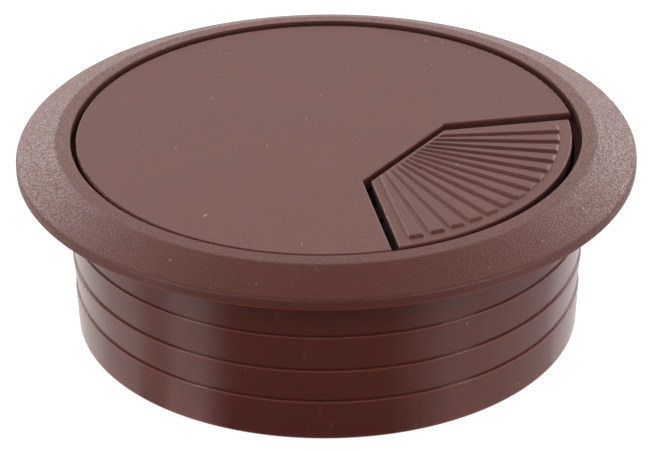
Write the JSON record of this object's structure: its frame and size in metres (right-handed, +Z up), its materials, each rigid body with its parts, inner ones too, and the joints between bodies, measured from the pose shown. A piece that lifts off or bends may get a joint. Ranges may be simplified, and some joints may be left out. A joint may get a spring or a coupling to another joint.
{
  "type": "desk cable grommet",
  "caption": "Round desk cable grommet: flanged, barbed liner for a 60 mm hole, lift-off cap and a sprung, ribbed flap over the cable outlet.",
  "frame": {"origin": "on the axis of the desk hole, at the flange's underside, which is the desk surface", "axes": "+Z up out of the desk along the hole's axis; +X towards the cable outlet in the cap"},
  "size_m": [0.072, 0.072, 0.0235],
  "materials": {
    "liner_plastic": "brown moulded plastic, fine matt texture on the flange, semi-gloss on the sleeve",
    "cap_plastic": "brown moulded plastic with a fine matt texture",
    "steel": "drawn steel wire, plain"
  },
  "bodies": {
    "liner": {"liner": "liner_plastic"},
    "cap": {"cap": "cap_plastic", "hinge_pin": "steel", "flap_spring": "steel"},
    "flap": {"cable_flap": "cap_plastic", "flap_spring_leg": "steel"}
  },
  "joints": [
    {"name": "cap_lift", "type": "slide", "parent": "liner", "child": "cap", "axis": [0, 0, 1], "range_m": [0, 0.03]},
    {"name": "flap_tilt", "type": "hinge", "parent": "cap", "child": "flap", "pos_m": [0.0116, 0, 0.0008], "axis": [0, 1, 0], "range_deg": [0, 70], "stiffness_Nm_per_rad": 0.0006, "springref_deg": -57.3}
  ]
}
